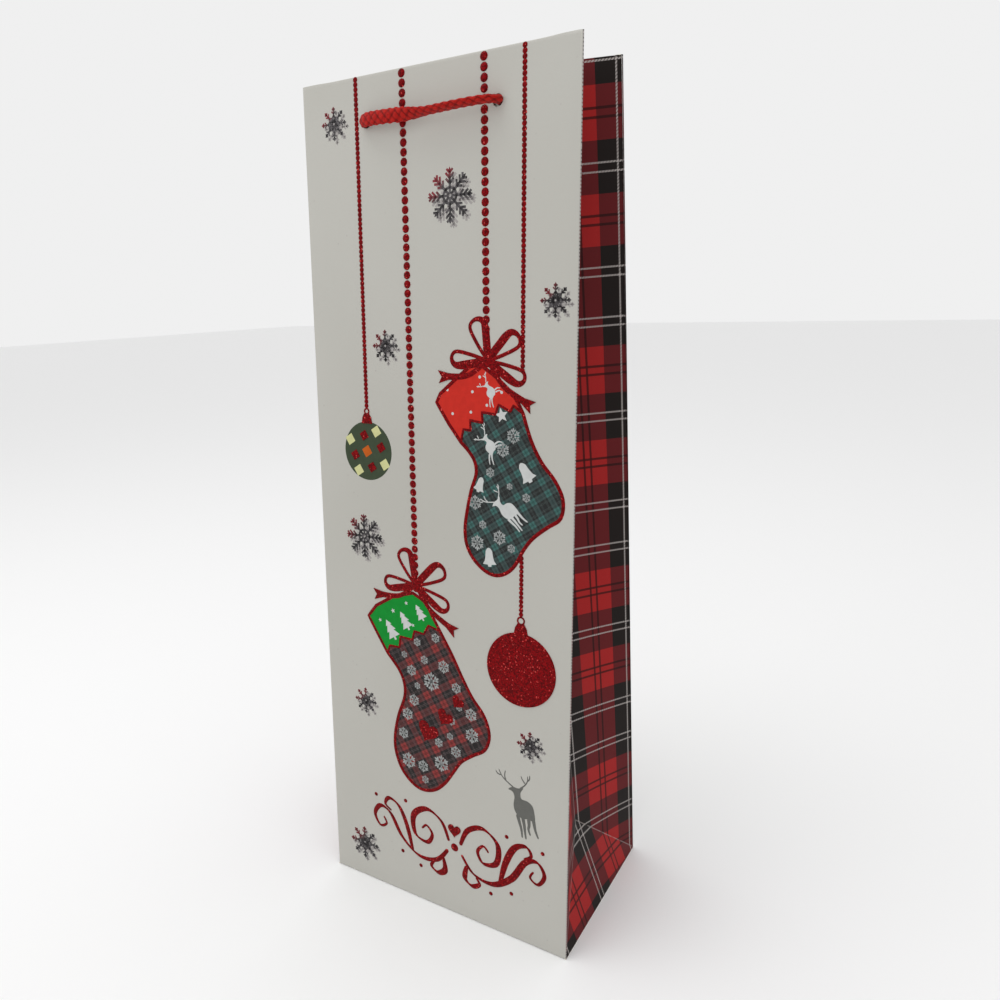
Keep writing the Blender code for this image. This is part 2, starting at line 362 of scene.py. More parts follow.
# Each tartan's ground, half-strength block, full block, dark line and white line
GUSSET_INKS = (
    (0.012, 0.009, 0.008), (0.118, 0.011, 0.013), (0.36, 0.016, 0.016), (0.018, 0.004, 0.004),
    (0.48, 0.44, 0.42),
)
GREEN_INKS = (
    (0.022, 0.024, 0.024), (0.040, 0.062, 0.060), (0.050, 0.130, 0.118), (0.006, 0.007, 0.007),
    (0.10, 0.13, 0.12),
)
RED_INKS = (
    (0.021, 0.018, 0.018), (0.088, 0.030, 0.030), (0.24, 0.038, 0.036), (0.008, 0.006, 0.006),
    (0.17, 0.13, 0.13),
)

WHITE_CARD = white_card_material()
PAPER_BACK = plain_paper_material("white_paper_back", (0.70, 0.70, 0.68), (0.78, 0.78, 0.76))
PAPER_EDGE = plain_paper_material("cut_paper_edge", (0.62, 0.56, 0.42), (0.74, 0.68, 0.54), 900.0)
GREY_BOARD = plain_paper_material("grey_chipboard", (0.30, 0.29, 0.26), (0.46, 0.45, 0.41), 700.0)
TARTAN = tartan_material("gusset_tartan", GUSSET_INKS, GUSSET_START, slip=GUSSET_SLIP)
CORD = cord_material()
ART_LOOKS = {
    "pale_shadow": print_material("pale_grey_print", (0.33, 0.31, 0.30)),
    "dark_foil": foil_material(),
    "olive_print": print_material("olive_print", (0.045, 0.062, 0.036)),
    "cream_print": print_material("cream_print", (0.55, 0.55, 0.27)),
    "orange_print": print_material("orange_print", (0.46, 0.095, 0.010)),
    "red_print": print_material("red_print", (0.51, 0.024, 0.015)),
    "green_print": print_material("green_print", (0.004, 0.23, 0.026)),
    "green_tartan_print": tartan_material("green_tartan", GREEN_INKS, finer=GREEN_FINER, turn=STOCKING_TURN),
    "red_tartan_print": tartan_material("red_tartan", RED_INKS, finer=RED_FINER, turn=STOCKING_TURN),
    "white_print": print_material("white_print", (0.52, 0.53, 0.52)),
    "soft_white_print": print_material("soft_white_print", (0.31, 0.325, 0.32), 0.20),
    "grey_print": print_material("grey_print", (0.125, 0.125, 0.115)),
    "red_glitter": glitter_material(
        "red_glitter", (0.085, 0.001, 0.002), (0.25, 0.002, 0.004), (0.70, 0.08, 0.07)
    ),
}


# Meshes


def add_to_scene(name, data):
    thing = bpy.data.objects.new(name, data)
    bpy.context.scene.collection.objects.link(thing)
    return thing


def mesh_object(name, points, faces, materials, face_looks=None, flat=None, smooth_below=35.0):
    """A mesh with outward faces, its materials, and its flat coordinates in the UV map 'flat'."""
    mesh = bpy.data.meshes.new(name)
    mesh.from_pydata([tuple(point) for point in points], [], faces)
    for look in materials:
        mesh.materials.append(look)
    if face_looks:
        mesh.polygons.foreach_set("material_index", face_looks)
    if flat:
        layer = mesh.uv_layers.new(name="flat")
        for loop in mesh.loops:
            layer.data[loop.index].uv = flat[loop.vertex_index]
    shape = bmesh.new()
    shape.from_mesh(mesh)
    bmesh.ops.recalc_face_normals(shape, faces=shape.faces)
    if shape.calc_volume(signed=True) < 0:
        bmesh.ops.reverse_faces(shape, faces=shape.faces)
    shape.to_mesh(mesh)
    shape.free()
    mesh.shade_smooth()
    mesh.set_sharp_from_angle(angle=math.radians(smooth_below))
    return add_to_scene(name, mesh)


def grid_sheet(name, outer, inner, flat, materials):
    """A closed sheet between two grids of points; the materials are outer face, inner face and rim."""
    rows, columns = len(outer), len(outer[0])
    points = [point for grid in (outer, inner) for row in grid for point in row]
    uv = [place for row in flat for place in row] * 2
    count = rows * columns
    faces, looks = [], []
    for r in range(rows - 1):
        for c in range(columns - 1):
            a, b = r * columns + c, (r + 1) * columns + c
            faces += [(a, a + 1, b + 1, b), (count + a, count + b, count + b + 1, count + a + 1)]
            looks += [0, 1]
    border = list(range(columns)) + [r * columns + columns - 1 for r in range(1, rows)]
    border += [(rows - 1) * columns + c for c in range(columns - 2, -1, -1)]
    border += [r * columns for r in range(rows - 2, 0, -1)]
    rim = band([border, [count + index for index in border]])
    return mesh_object(name, points, faces + rim, materials, looks + [2] * len(rim), uv)


def band(rings, closed=False):
    """Faces between each ring of point numbers and the next; closed joins the last ring to the first."""
    faces = []
    for low, high in zip(rings, rings[1:] + (rings[:1] if closed else [])):
        faces += zip(low, low[1:] + low[:1], high[1:] + high[:1], high)
    return faces


def spread(low, high, step):
    """Evenly spaced values from low to high, about step apart."""
    count = max(1, round((high - low) / step))
    return [low + (high - low) * index / count for index in range(count + 1)]


def smoothstep(value, low, high):
    t = min(1.0, max(0.0, (value - low) / (high - low)))
    return t * t * (3 - 2 * t)


def distances(path):
    """How far along the path each of its points is."""
    along = [0.0]
    for a, b in zip(path, path[1:]):
        along.append(along[-1] + (b - a).length)
    return along


def heading(path, index, closed=False):
    """The direction of a path at one of its points."""
    count = len(path)
    ahead = path[(index + 1) % count] if closed else path[min(index + 1, count - 1)]
    behind = path[index - 1] if closed or index else path[0]
    return (ahead - behind).normalized()


# Front and back panels


def hem_layer(x):
    """How deep the hem lies behind the face: over the board in the middle, close at the sides."""
    return BOARD_LAYER + (HEM_LAYER - BOARD_LAYER) * smoothstep(abs(x), HEM_STEP_START, HEM_STEP_END)


def side_profile():
    """Positions across a panel: place, depth and turn, with both side edges folded round."""
    flat_half = HALF_WIDTH - FOLD_RADIUS
    right = []
    for angle in (20, 45, 70, 92):
        turn = math.radians(angle)
        right.append((flat_half + FOLD_RADIUS * math.sin(turn), FOLD_RADIUS * (1 - math.cos(turn)), turn))
    middle = [(x, 0.0, 0.0) for x in spread(-flat_half, flat_half, 0.006)]
    return [(-x, depth, -turn) for x, depth, turn in reversed(right)] + middle + right


def panel_rows():
    """Steps up a panel, from the base fold to the end of the hem.

    Each row is (part, value): a fold angle, a distance along the face, a roll angle over the
    top edge, or a distance down the hem.
    """
    rows = [("fold", math.radians(angle)) for angle in (90, 70, 45, 20)]
    rows += [("face", along) for along in spread(FOLD_RADIUS, HEIGHT - 0.0014, 0.009)]
    rows += [("roll", math.radians(angle)) for angle in range(0, 181, 30)]
    rows += [("hem", down) for down in spread(0.004, HEM_DEPTH, 0.0068)]
    return rows


def panel_place(row, x):
    """Distance along, depth and turn of the sheet at one row and place across."""
    part, value = row
    layer = hem_layer(x)
    roll = (layer + PAPER) / 2
    top = HEIGHT - roll * ROLL_FLATNESS
    if part == "fold":
        return FOLD_RADIUS * (1 - math.sin(value)), FOLD_RADIUS * (1 - math.cos(value)), value
    if part == "face":
        return min(value, top), 0.0, 0.0
    if part == "roll":
        return top + roll * ROLL_FLATNESS * math.sin(value), roll * (1 - math.cos(value)), -value
    return top - value, 2 * roll, -math.pi


def sheet_points(end, row, column):
    """The outer and inner point of the sheet where a row meets a column."""
    x, side_depth, side_turn = column
    along, depth, turn = panel_place(row, x)
    part, value = row
    inside = {"roll": min(1.0, value / math.pi), "hem": 1.0}.get(part, 0.0)
    outer = panel_point(end, x * (1 - HEM_NARROWING * inside), along, depth + side_depth * (1 - inside))
    upwards, outwards = panel_axes(end)
    side_turn *= 1 - inside
    normal = -outwards * math.cos(side_turn) - Vector((1, 0, 0)) * math.sin(side_turn)
    normal = normal * math.cos(turn) + upwards * math.sin(turn)
    return outer, outer + normal.normalized() * PAPER


def make_panel(end):
    """The printed panel with its folded edges, and the hem rolled over the board at the mouth."""
    columns = side_profile()
    outer, inner, flat = [], [], []
    for row in panel_rows():
        pairs = [sheet_points(end, row, column) for column in columns]
        outer.append([pair[0] for pair in pairs])
        inner.append([pair[1] for pair in pairs])
        down = {"face": HEIGHT - row[1], "fold": HEIGHT, "roll": 0.0}.get(row[0], -row[1])
        flat.append([((1 + end) * HALF_DEPTH / MM, down / MM)] * len(columns))
    name = END_NAME[end]
    sheet = grid_sheet(name + "_panel_sheet", outer, inner, flat, [WHITE_CARD, PAPER_BACK, PAPER_EDGE])
    sheet.data.materials.append(TARTAN)
    for face in sheet.data.polygons:
        past_fold = face.material_index == 0 and abs(face.normal.x) > 0.7
        lip_end = face.material_index == 2 and abs(face.center.x) > HALF_WIDTH - FOLD_RADIUS
        if past_fold or lip_end:
            face.material_index = 3  # past the middle of the fold the gusset's print begins
    for side in (LEFT, RIGHT):
        punch_hole(sheet, hole_centre(end, side), panel_axes(end)[1])
    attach(sheet, name + "_panel")
    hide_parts(name + "_panel", name + "_hem")


def hole_centre(end, side, depth=0.0):
    """A place on a cord hole's axis, found from the joint of the tail that hangs from it."""
    place = Vector(joints[f"{END_NAME[end]}_{SIDE_NAME[side]}_tail_swing"]["pos_m"])
    inwards = HALF_DEPTH - abs(place.y)
    return panel_point(end, place.x, place.z * math.cos(LEAN) + inwards * math.sin(LEAN), depth)


def punch_hole(sheet, centre, axis):
    """Cuts a round cord hole through face, board layer and hem, with cut paper as its wall."""
    shape = bmesh.new()
    placing = Matrix.Translation(centre) @ axis.to_track_quat("Z", "X").to_matrix().to_4x4()
    bmesh.ops.create_cone(
        shape, segments=32, radius1=HOLE_RADIUS, radius2=HOLE_RADIUS, depth=CUTTER_LENGTH, cap_ends=True,
        matrix=placing,
    )
    mesh = bpy.data.meshes.new("hole_cutter")
    for look in (WHITE_CARD, PAPER_BACK, PAPER_EDGE):
        mesh.materials.append(look)
    shape.to_mesh(mesh)
    shape.free()
    mesh.polygons.foreach_set("material_index", [2] * len(mesh.polygons))
    cutter = add_to_scene("hole_cutter", mesh)
    cut = sheet.modifiers.new("hole", "BOOLEAN")
    cut.object = cutter
    cut.operation = "DIFFERENCE"
    cut.solver = "MANIFOLD"
    evaluated = sheet.evaluated_get(bpy.context.evaluated_depsgraph_get())
    finished = bpy.data.meshes.new_from_object(evaluated)
    sheet.modifiers.clear()
    sheet.data = finished
    bpy.data.objects.remove(cutter)


# Gussets


def gusset_corners(side, end):
    """Corner points of half a gusset: base corner, apex of the foot triangle, crease top, panel top."""
    half = HALF_DEPTH
    corner = panel_point(end, side * HALF_WIDTH, 0.0)
    top = panel_point(end, side * HALF_WIDTH, HEIGHT)
    apex = Vector((side * (HALF_WIDTH - half * math.sin(FOLD_IN)), 0, half * math.cos(FOLD_IN)))
    # The crease's top end is half the depth from the panel's top, and the crease keeps its flat length
    reach = math.sqrt(half**2 - top.y**2)
    length = HEIGHT - half
    foot = Vector((top.x, 0, top.z))
    span = apex - foot
    along = (reach**2 - length**2 + span.length**2) / (2 * span.length)
    across = math.sqrt(reach**2 - along**2)
    run = span.normalized()
    ends = [foot + run * along + Vector((-run.z, 0, run.x)) * across * sign for sign in (-1, 1)]
    return corner, apex, min(ends, key=lambda place: abs(place.x)), top


class GussetHalf:
    """Half a gusset: a softly twisted sheet between the panel's edge and the middle crease."""

    def __init__(self, side, end):
        self.side, self.end = side, end
        self.corner, self.apex, self.crease, self.top = gusset_corners(side, end)

    def point(self, across, along):
        """Where a place on the flat sheet is: across from the panel's edge, along from the base."""
        share = across / HALF_DEPTH
        rise = (along - across) / (HEIGHT - across)
        foot = self.corner.lerp(self.apex, share)
        head = self.top.lerp(self.crease, share)
        return foot + (head - foot) * rise

    def inwards(self, across, along):
        """The sheet's normal towards the inside of the bag."""
        step = 0.0004
        run = self.point(across + step, along) - self.point(across - step, along)
        rise = self.point(across, along + step) - self.point(across, along - step)
        return run.cross(rise).normalized() * (self.side * self.end)


def mitred(normal, share):
    """A sheet's normal; at the middle crease it is turned and lengthened so that both halves meet."""
    if share < 1.0:
        return normal
    level = Vector((normal.x, 0, normal.z))
    return level / level.length_squared


def gusset_row(half, part, value, shares):
    """One row of the sheet: outer points, inner points and places on the flat sheet."""
    roll = (HEM_LAYER + PAPER) / 2
    top = HEIGHT - roll
    outer, inner, flat = [], [], []
    for share in shares:
        across = share * HALF_DEPTH
        if part == "face":
            along = across + (top - across) * value
            place, normal = half.point(across, along), mitred(half.inwards(across, along), share)
            down = HEIGHT - along
        else:
            turn = value if part == "roll" else math.pi
            down = -value if part == "hem" else 0.0
            narrow = GUSSET_HEM_SHIFT * (1 - share) * turn / math.pi
            inmost = mitred(half.inwards(across + narrow, top + down), share)
            rise = (half.point(across, top) - half.point(across, top - 0.001)).normalized()
            place = half.point(across + narrow, top + down) + inmost * (roll * (1 - math.cos(turn)))
            place += rise * (roll * math.sin(turn))
            normal = inmost * math.cos(turn) - rise * math.sin(turn)
        from_front = across if half.end == FRONT else 2 * HALF_DEPTH - across
        outer.append(place)
        inner.append(place + normal * PAPER)
        flat.append((from_front / MM, down / MM))
    return outer, inner, flat


def make_gusset_half(side, end):
    """One half gusset with its hem, blended between the two facets of the fold."""
    half = GussetHalf(side, end)
    rows = [("face", share) for share in spread(0.0, 1.0, 0.02)]
    rows += [("roll", math.radians(angle)) for angle in (45, 90, 135, 180)]
    rows += [("hem", down) for down in spread(0.003, HEM_DEPTH, 0.005)]
    shares = spread(FOLD_RADIUS / HALF_DEPTH, 1.0, 0.05)
    grids = zip(*[gusset_row(half, part, value, shares) for part, value in rows])
    name = f"{SIDE_NAME[side]}_gusset_{END_NAME[end]}"
    sheet = grid_sheet(name + "_sheet", *map(list, grids), [TARTAN, PAPER_BACK, PAPER_EDGE])
    bend = (half.apex - half.top).normalized()
    to_crease = half.crease - half.top
    to_crease = (to_crease - bend * to_crease.dot(bend)).normalized()
    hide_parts(name + "_lower", name + "_upper", name + "_hem")
    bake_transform(sheet)


def make_gusset_triangle(side):
    """The foot triangle between the two slanting creases and the base fold."""
    front, apex = gusset_corners(side, FRONT)[:2]
    back = gusset_corners(side, BACK)[0]
    inwards = (back - front).cross(apex - front).normalized()
    inwards *= -math.copysign(1.0, inwards.x * side)
    outer, inner, flat = [], [], []
    for share in spread(0.0, 0.995, 0.1):
        start, stop = front.lerp(apex, share), back.lerp(apex, share)
        steps = spread(0.0, 1.0, 0.125)
        outer.append([start.lerp(stop, step) for step in steps])
        inner.append([place + inwards * PAPER for place in outer[-1]])
        wide = 2 * HALF_DEPTH * (1 - share)
        down = (HEIGHT - HALF_DEPTH * share) / MM
        flat.append([((HALF_DEPTH * share + wide * step) / MM, down) for step in steps])
    name = SIDE_NAME[side] + "_gusset_triangle"
    sheet = grid_sheet(name + "_sheet", outer, inner, flat, [TARTAN, PAPER_BACK, PAPER_EDGE])
    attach(sheet, name)
    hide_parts(name)


# Cords


BRAID_STRANDS = 4  # strands of each slant round the cord
BRAID_PITCH = 0.0034
BRAID_RELIEF = 0.00042


def smooth_path(points, step, closed=False):
    """A Catmull-Rom curve through the points, as points about a step apart."""
    points = [Vector(point) for point in points]
    count = len(points)
    path = []
    for index in range(count if closed else count - 1):
        around = [index + k if closed else min(max(index + k, 0), count - 1) for k in (-1, 0, 1, 2)]
        before, start, stop, after = (points[place % count] for place in around)
        steps = max(2, round((stop - start).length / step))
        for n in range(steps):
            t = n / steps
            place = 2 * start + (stop - before) * t + (2 * before - 5 * start + 4 * stop - after) * t * t
            path.append((place + (3 * start - before - 3 * stop + after) * t**3) / 2)
    return path if closed else path + [points[-1]]


def braid_height(around, along):
    """Height of the plait, 0 to 1, at a share of a turn round the cord and a distance along it."""
    one = around * BRAID_STRANDS + along / BRAID_PITCH
    other = around * BRAID_STRANDS - along / BRAID_PITCH
    rise, run = math.sin(math.pi * (one % 1)), math.sin(math.pi * (other % 1))
    if (math.floor(one) + math.floor(other)) % 2:
        rise, run = run, rise
    return math.sqrt(rise) * (0.5 + 0.5 * run)


def braid_tube(name, path, side_way, size, ring):
    """A plaited flat cord along a path; size gives its width, thickness and twist at a share along."""
    points, flat = [], []
    along = distances(path)
    for index, place in enumerate(path):
        run = heading(path, index)
        across = (side_way - run * side_way.dot(run)).normalized()
        out = run.cross(across)
        width, thickness, twist = size(along[index] / along[-1])
        for k in range(ring):
            angle = 2 * math.pi * k / ring
            height = braid_height(k / ring, along[index])
            lift = 1 + 2 * BRAID_RELIEF * (height - 0.5) / (width + thickness) * 2
            a = width / 2 * math.cos(angle) * lift
            b = thickness / 2 * math.sin(angle) * lift
            points.append(
                place
                + across * (a * math.cos(twist) - b * math.sin(twist))
                + out * (a * math.sin(twist) + b * math.cos(twist))
            )
            # the plait's height also goes into the UV map 'flat', where the cord's material uses it to paint
            # shade into the grooves
            flat.append((height, along[index] / MM))
    rings = [list(range(first, first + ring)) for first in range(0, len(points), ring)]
    faces = band(rings) + [tuple(rings[0]), tuple(rings[-1])]
    return mesh_object(name, points, faces, [CORD], None, flat, 80.0)


def make_cords(end):
    """A handle: the span across the face, and the two tails inside with their knots."""
    name = END_NAME[end]
    upwards, outwards = panel_axes(end)
    left = hole_centre(end, LEFT, -SPAN_STAND)
    place = {}
    for share, sag, bulge in SPAN_ROUTE:
        for sign in (-1, 1):
            across = Vector((sign * share * abs(left.x), left.y, left.z))
            place[sign * share] = across - upwards * SPAN_SAG * sag + outwards * SPAN_BULGE * bulge
    route = [place[key] for key in sorted(place)]
    for side in (LEFT, RIGHT):
        overhang = Vector((side * SPAN_OVERHANG, 0, 0))
        stretch = [hole_centre(end, side, SPAN_START) + overhang, hole_centre(end, side, -SPAN_STAND)]
        route = stretch + route if side == LEFT else route + stretch[::-1]
    path = smooth_path(route, 0.0004)

    def span_size(share):
        """Flat on at one end and on edge past the middle; drawn in where it enters the holes."""
        facing = share if end == FRONT else 1 - share
        turned = smoothstep(facing, 0.24, 0.58)
        draw = smoothstep(min(share, 1 - share), 0.0, 0.10)
        width = CORD_WIDTH * (0.86 + 0.22 * draw)
        return width, CORD_THICKNESS * (1.05 - 0.05 * draw), math.radians(84) * turned

    span = braid_tube(name + "_cord_span_braid", path, upwards, span_size, 32)
    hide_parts(name + "_cord_span")
    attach(span, name + "_cord_span")
    for side in (LEFT, RIGHT):
        make_tail(end, side)


def make_tail(end, side):
    """One end of the cord inside the bag, from its hole down to its overhand knot."""
    name = f"{END_NAME[end]}_cord_{SIDE_NAME[side]}"
    knot_low, knot_high = (Vector(corner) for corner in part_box(name + "_knot"))
    knot_place = (knot_low + knot_high) / 2
    start = hole_centre(end, side, BOARD_LAYER + PAPER + SPAN_STAND)
    turn = start + Vector((0, -end * 0.0012, -0.0020))
    hang = start + Vector((0, -end * 0.0018, -0.0060))
    foot = Vector((hang.x, hang.y, knot_high.z - 0.0012))
    route = [hole_centre(end, side, TAIL_START), hole_centre(end, side, 0.0026), start, turn, hang]
    route += [hang.lerp(foot, step / TAIL_STEPS) for step in range(1, TAIL_STEPS + 1)]
    path = smooth_path(route, 0.0006)

    def tail_size(share):
        full = smoothstep(share, 0.0, 0.12) * smoothstep(1 - share, 0.0, 0.05)
        return CORD_WIDTH * (0.62 + 0.38 * full), CORD_THICKNESS, side * 1.6 * share

    tail = braid_tube(name + "_tail_braid", path, Vector((1, 0, 0)), tail_size, 20)
    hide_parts(name + "_tail")
    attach(tail, name + "_tail")
    knot = make_knot(name, knot_place, knot_high.z - knot_low.z)


def make_knot(name, centre, height):
    """A pulled-tight overhand knot with a short frayed end."""
    size = height / 8.6
    loop = []
    for step in range(KNOT_STEPS):
        t = 2 * math.pi * step / KNOT_STEPS
        aside, ahead = math.sin(t) + 2 * math.sin(2 * t), -math.sin(3 * t)
        loop.append(centre + Vector((aside, ahead, math.cos(t) - 2 * math.cos(2 * t))) * size)
    points, flat, along = [], [], distances(loop)
    for index, place in enumerate(loop):
        run = heading(loop, index, closed=True)
        across = run.cross(Vector((0, 1, 0))).normalized()
        out = run.cross(across)
        for k in range(KNOT_RING):
            angle = 2 * math.pi * k / KNOT_RING
            rise = braid_height(k / KNOT_RING, along[index])
            wide = CORD_THICKNESS / 2 * 1.12 + BRAID_RELIEF * (rise - 0.5)
            points.append(place + across * wide * math.cos(angle) + out * wide * math.sin(angle))
            # the plait's height goes into the UV map 'flat', where the cord's material paints shade into the
            # grooves
            flat.append((rise, along[index] / MM))
    faces = band([list(range(k, k + KNOT_RING)) for k in range(0, len(points), KNOT_RING)], closed=True)
    draw = random.Random(name)
    for strand in range(FRAY_STRANDS):
        angle = 2 * math.pi * strand / FRAY_STRANDS
        splay = Vector((math.cos(angle), 0.6 * math.sin(angle), 0)) * draw.uniform(0.4, 1.0)
        top = centre + splay * 0.0011 - Vector((0, 0, height * 0.40))
        tip = top + splay * 0.0016 - Vector((0, 0, draw.uniform(0.004, 0.0065)))
        rings = []
        for place, wide in ((top, 0.00042), (top.lerp(tip, 0.6), 0.00036), (tip, 0.00014)):
            rings.append(list(range(len(points), len(points) + FRAY_RING)))
            turns = [2 * math.pi * k / FRAY_RING for k in range(FRAY_RING)]
            points += [place + Vector((math.cos(turn), math.sin(turn), 0)) * wide for turn in turns]
            # the frayed strands count as near the top of the plait, so they get little painted shade
            flat += [(0.7, 0.0)] * FRAY_RING
        faces += band(rings) + [tuple(rings[0]), tuple(rings[-1])]
    knot = mesh_object(name + "_knot_braid", points, faces, [CORD], None, flat, 80.0)
    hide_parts(name + "_knot")
    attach(knot, name + "_tail")
    return knot


# Raised print


SUNK = -0.02  # mm, how far a print's underside lies in the card
# Each point's share of a stroke's width and of its height; None is the underside
RIDGE_PROFILE = ((-0.5, None), (-0.38, 0.7), (0.0, 1.0), (0.38, 0.7), (0.5, None))
DOME_RINGS = 3


class Relief:
    """Raised print of one material on one panel, gathered as closed solids; all in millimetres."""

    def __init__(self, end, name, look):
        self.end, self.name, self.look = end, name, look
        self.points, self.faces, self.flat = [], [], []

    def spot(self, x, s, height, flat=None):
        self.points.append(panel_point(self.end, -self.end * x * MM, s * MM, -height * MM))
        self.flat.append(flat or (x, s))
        return len(self.points) - 1

    def patch(self, outline, height, local=None):
        """A flat patch; local is the centre and size that its own coordinates are counted from."""
        tops, bottoms = [], []
        for x, s in outline:
            flat = ((x - local[0]) / local[2], (s - local[1]) / local[2]) if local else (x, s)
            tops.append(self.spot(x, s, height, flat))
            bottoms.append(self.spot(x, s, SUNK, flat))
        self.faces += band([bottoms, tops]) + [tuple(tops), tuple(reversed(bottoms))]

    def bar(self, start, stop, width, height, local=None, tip=0.0):
        """A thin straight bar, with a pointed far end when tip is not 0."""
        start, stop = Vector(start), Vector(stop)
        run = (stop - start).normalized()
        side = Vector((-run.y, run.x)) * width / 2
        outline = [start - side, stop - side - run * tip]
        outline += [stop] if tip else []
        outline += [stop + side - run * tip, start + side]
        self.patch(outline, height, local)

    def ridge(self, path, width, height, closed=False):
        """A domed stroke; width is a number or a function of the share along it and its direction."""
        along = distances(path)
        rings = []
        for index, place in enumerate(path):
            run = heading(path, index, closed)
            side = Vector((-run.y, run.x))
            wide = width(along[index] / along[-1], run) if callable(width) else width
            rise = height
            if not closed:
                tip = min(1.0, min(along[index], along[-1] - along[index]) / (wide / 2))
                narrow = math.sqrt(max(0.03, tip * (2 - tip)))
                wide, rise = wide * narrow, height * narrow
            ring = []
            for share, level in RIDGE_PROFILE:
                edge = place + side * wide * share
                ring.append(self.spot(edge.x, edge.y, SUNK if level is None else rise * level))
            rings.append(ring)
        self.faces += band(rings, closed)
        if not closed:
            self.faces += [tuple(rings[0]), tuple(reversed(rings[-1]))]

    def dome(self, x, s, radius, height, segments=12):
        """A round bead or drop, rounded over its top."""
        rings = []
        for row in range(DOME_RINGS):
            lift = math.pi / 2 * row / DOME_RINGS
            level = height * math.sin(lift) or SUNK
            places = circle(x, s, radius * math.cos(lift), segments)
            rings.append([self.spot(*place, level) for place in places])
        top = self.spot(x, s, height)
        self.faces += band(rings) + [(*pair, top) for pair in zip(rings[-1], rings[-1][1:] + rings[-1][:1])]
        self.faces.append(tuple(reversed(rings[0])))

    def finish(self):
        name = f"{END_NAME[self.end]}_{self.name}"
        piece = mesh_object(name, self.points, self.faces, [self.look], None, self.flat, 50.0)
        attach(piece, END_NAME[self.end] + "_panel")


def circle(x, s, radius, count):
    turns = [2 * math.pi * k / count for k in range(count)]
    return [Vector((x + radius * math.cos(a), s + radius * math.sin(a))) for a in turns]


def placed(points, x, s, size=1.0, turn=0.0, mirror=1):
    """Points moved from a motif's own millimetres to a place on the panel."""
    cos, sin = math.cos(math.radians(turn)), math.sin(math.radians(turn))
    moved = []
    for px, py in points:
        px, py = px * size * mirror, py * size
        moved.append(Vector((x + px * cos - py * sin, s + px * sin + py * cos)))
    return moved


def straight_path(points, step):
    """Points about a step apart along straight runs between corners."""
    path = []
    for a, b in zip(points, points[1:]):
        a, b = Vector(a), Vector(b)
        steps = max(1, round((b - a).length / step))
        path += [a.lerp(b, n / steps) for n in range(steps)]
    return path + [Vector(points[-1])]


FLAKE_ARMS = 8
# Each chevron's distance out along its arm and its length, as shares of the radius
LARGE_CHEVRONS = ((0.42, 0.24), (0.61, 0.25), (0.79, 0.19))
SMALL_CHEVRONS = ((0.60, 0.23), (0.80, 0.17))


def draw_snowflake(art, x, s, radius, height, large):
    """A snowflake of straight bars: stems, chevrons, and petals or a ring round the middle."""
    local = (x, s, radius)
    width = 0.098 * radius
    step = math.pi / FLAKE_ARMS
    for arm in range(FLAKE_ARMS):
        cos, sin = math.cos(2 * step * arm), math.sin(2 * step * arm)

        def at(reach, aside=0.0):
            """A place on this arm, out from the middle and aside from its stem."""
            return (x + radius * (reach * cos - aside * sin), s + radius * (reach * sin + aside * cos))

        art.bar(at(0.06), at(1.0), width, height, local, tip=width)
        for reach, long in LARGE_CHEVRONS if large else SMALL_CHEVRONS:
            for side in (-1, 1):
                art.bar(at(reach), at(reach + long * 0.75, side * long * 0.72), width * 0.9, height, local)
        if large:
            following = at(0.30 * math.cos(2 * step), 0.30 * math.sin(2 * step))
            art.bar(at(0.30), following, width, height, local)
        else:
            for side in (-1, 1):
                art.bar(at(0.12), at(0.36, side * 0.14), width, height, local)
                art.bar(at(0.36, side * 0.14), at(0.54), width, height, local)
            art.patch([at(0.84), at(0.93, 0.10), at(1.06), at(0.93, -0.10)], height, local)


def draw_white_flake(art, x, s, radius):
    """A little solid snowflake of the stocking print."""
    middle = Vector((x, s))
    for arm in range(6):
        angle = math.pi * (arm / 3 + 1 / 6)
        out = Vector((math.cos(angle), math.sin(angle)))
        side = Vector((-out.y, out.x))
        fork = middle + out * radius * 0.45
        art.bar(middle, middle + out * radius, radius * 0.20, PRINT_OVER, tip=radius * 0.15)
        for sign in (-1, 1):
            art.bar(fork, fork + (out + side * sign) * radius * 0.30, radius * 0.17, PRINT_OVER)
    art.patch(circle(x, s, radius * 0.26, 8), PRINT_OVER)


DEER_BODY = (
    (-6.2, 9.8), (-4.0, 11.4), (-1.6, 11.4), (1.0, 12.2), (-0.3, 9.6), (0.2, 7.0), (3.0, 6.7), (5.4, 5.2),
    (6.4, 2.0), (6.5, -1.6), (3.0, -1.6), (0.6, -2.2), (-2.4, -0.4), (-3.6, 3.0), (-3.2, 7.0), (-4.2, 9.2),
)
DEER_ANTLERS = (
    ((-3.6, 11.2), (-5.8, 12.4), (-9.0, 14.6), (-10.9, 17.8)),
    ((-7.2, 13.2), (-8.0, 15.4), (-7.6, 18.0)),
    ((-9.6, 15.2), (-11.6, 15.6), (-12.4, 17.0)),
    ((-0.6, 11.6), (1.4, 13.4), (2.9, 15.8), (3.0, 18.4)),
    ((2.0, 14.4), (0.6, 16.0), (-0.2, 17.6)),
    ((2.9, 15.8), (3.9, 17.2), (4.0, 19.0)),
)
